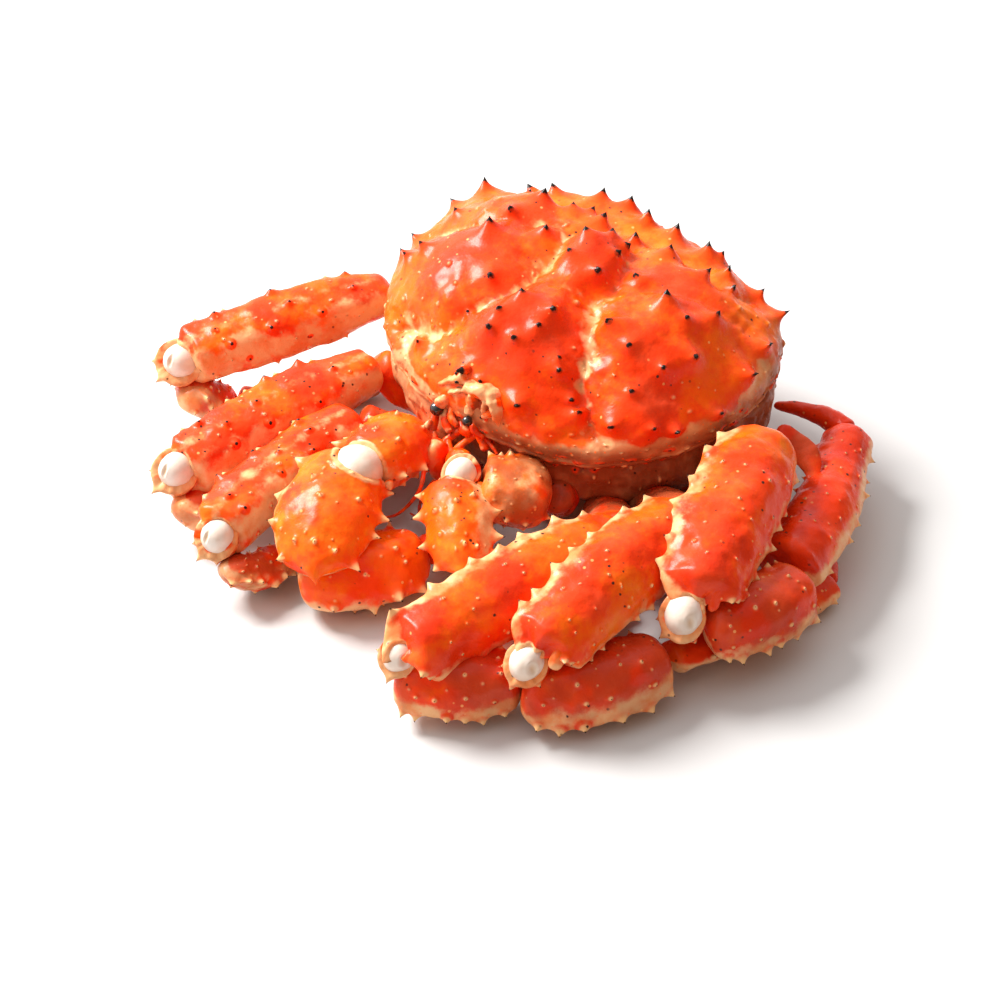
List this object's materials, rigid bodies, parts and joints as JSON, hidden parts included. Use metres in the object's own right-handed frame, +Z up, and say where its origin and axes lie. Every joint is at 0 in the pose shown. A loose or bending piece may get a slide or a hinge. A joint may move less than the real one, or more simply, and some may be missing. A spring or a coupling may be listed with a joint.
{
  "type": "whole cooked king crab",
  "caption": "Whole cooked king crab lying belly down: domed spiny carapace, knobbly legs and claws folded in front and at the sides.",
  "frame": {"origin": "On the resting plane, under the middle of the crab's box.", "axes": "+Z up, +X to the crab's left side, -Y to the crab's front."},
  "size_m": [0.4024, 0.3376, 0.1368],
  "materials": {
    "shell": "glossy",
    "shell_pale": "satin",
    "membrane": "satin",
    "eye": "glossy"
  },
  "bodies": {
    "root": {"carapace": "shell", "underbody": "shell_pale", "abdomen": "shell_pale", "eye_l": "eye", "eye_r": "eye", "mouthparts_l": "shell", "mouthparts_r": "shell", "antenna_l": "shell", "antenna_r": "shell", "leg_l1_base": "shell", "leg_l1_merus": "shell", "leg_l1_knee": "membrane", "leg_l1_carpus": "shell", "leg_l1_propodus": "shell", "leg_l1_dactyl": "shell", "leg_l2_base": "shell", "leg_l2_merus": "shell", "leg_l2_knee": "membrane", "leg_l2_carpus": "shell", "leg_l2_propodus": "shell", "leg_l2_dactyl": "shell", "leg_l3_base": "shell", "leg_l3_merus": "shell", "leg_l3_knee": "membrane", "leg_l3_carpus": "shell", "leg_l3_propodus": "shell", "leg_l3_dactyl": "shell", "leg_r1_base": "shell", "leg_r1_merus": "shell", "leg_r1_knee": "membrane", "leg_r1_carpus": "shell", "leg_r1_propodus": "shell", "leg_r1_dactyl": "shell", "leg_r2_base": "shell", "leg_r2_merus": "shell", "leg_r2_knee": "membrane", "leg_r2_carpus": "shell", "leg_r2_propodus": "shell", "leg_r2_dactyl": "shell", "leg_r3_base": "shell", "leg_r3_merus": "shell", "leg_r3_knee": "membrane", "leg_r3_carpus": "shell", "leg_r3_propodus": "shell", "leg_r3_dactyl": "shell", "claw_l_base": "shell", "claw_l_merus": "shell", "claw_l_wrist": "membrane", "claw_l_carpus": "shell", "claw_l_palm": "shell", "claw_l_finger": "shell", "claw_r_base": "shell", "claw_r_merus": "shell", "claw_r_wrist": "membrane", "claw_r_carpus": "shell", "claw_r_palm": "shell", "claw_r_finger": "shell"}
  },
  "joints": []
}
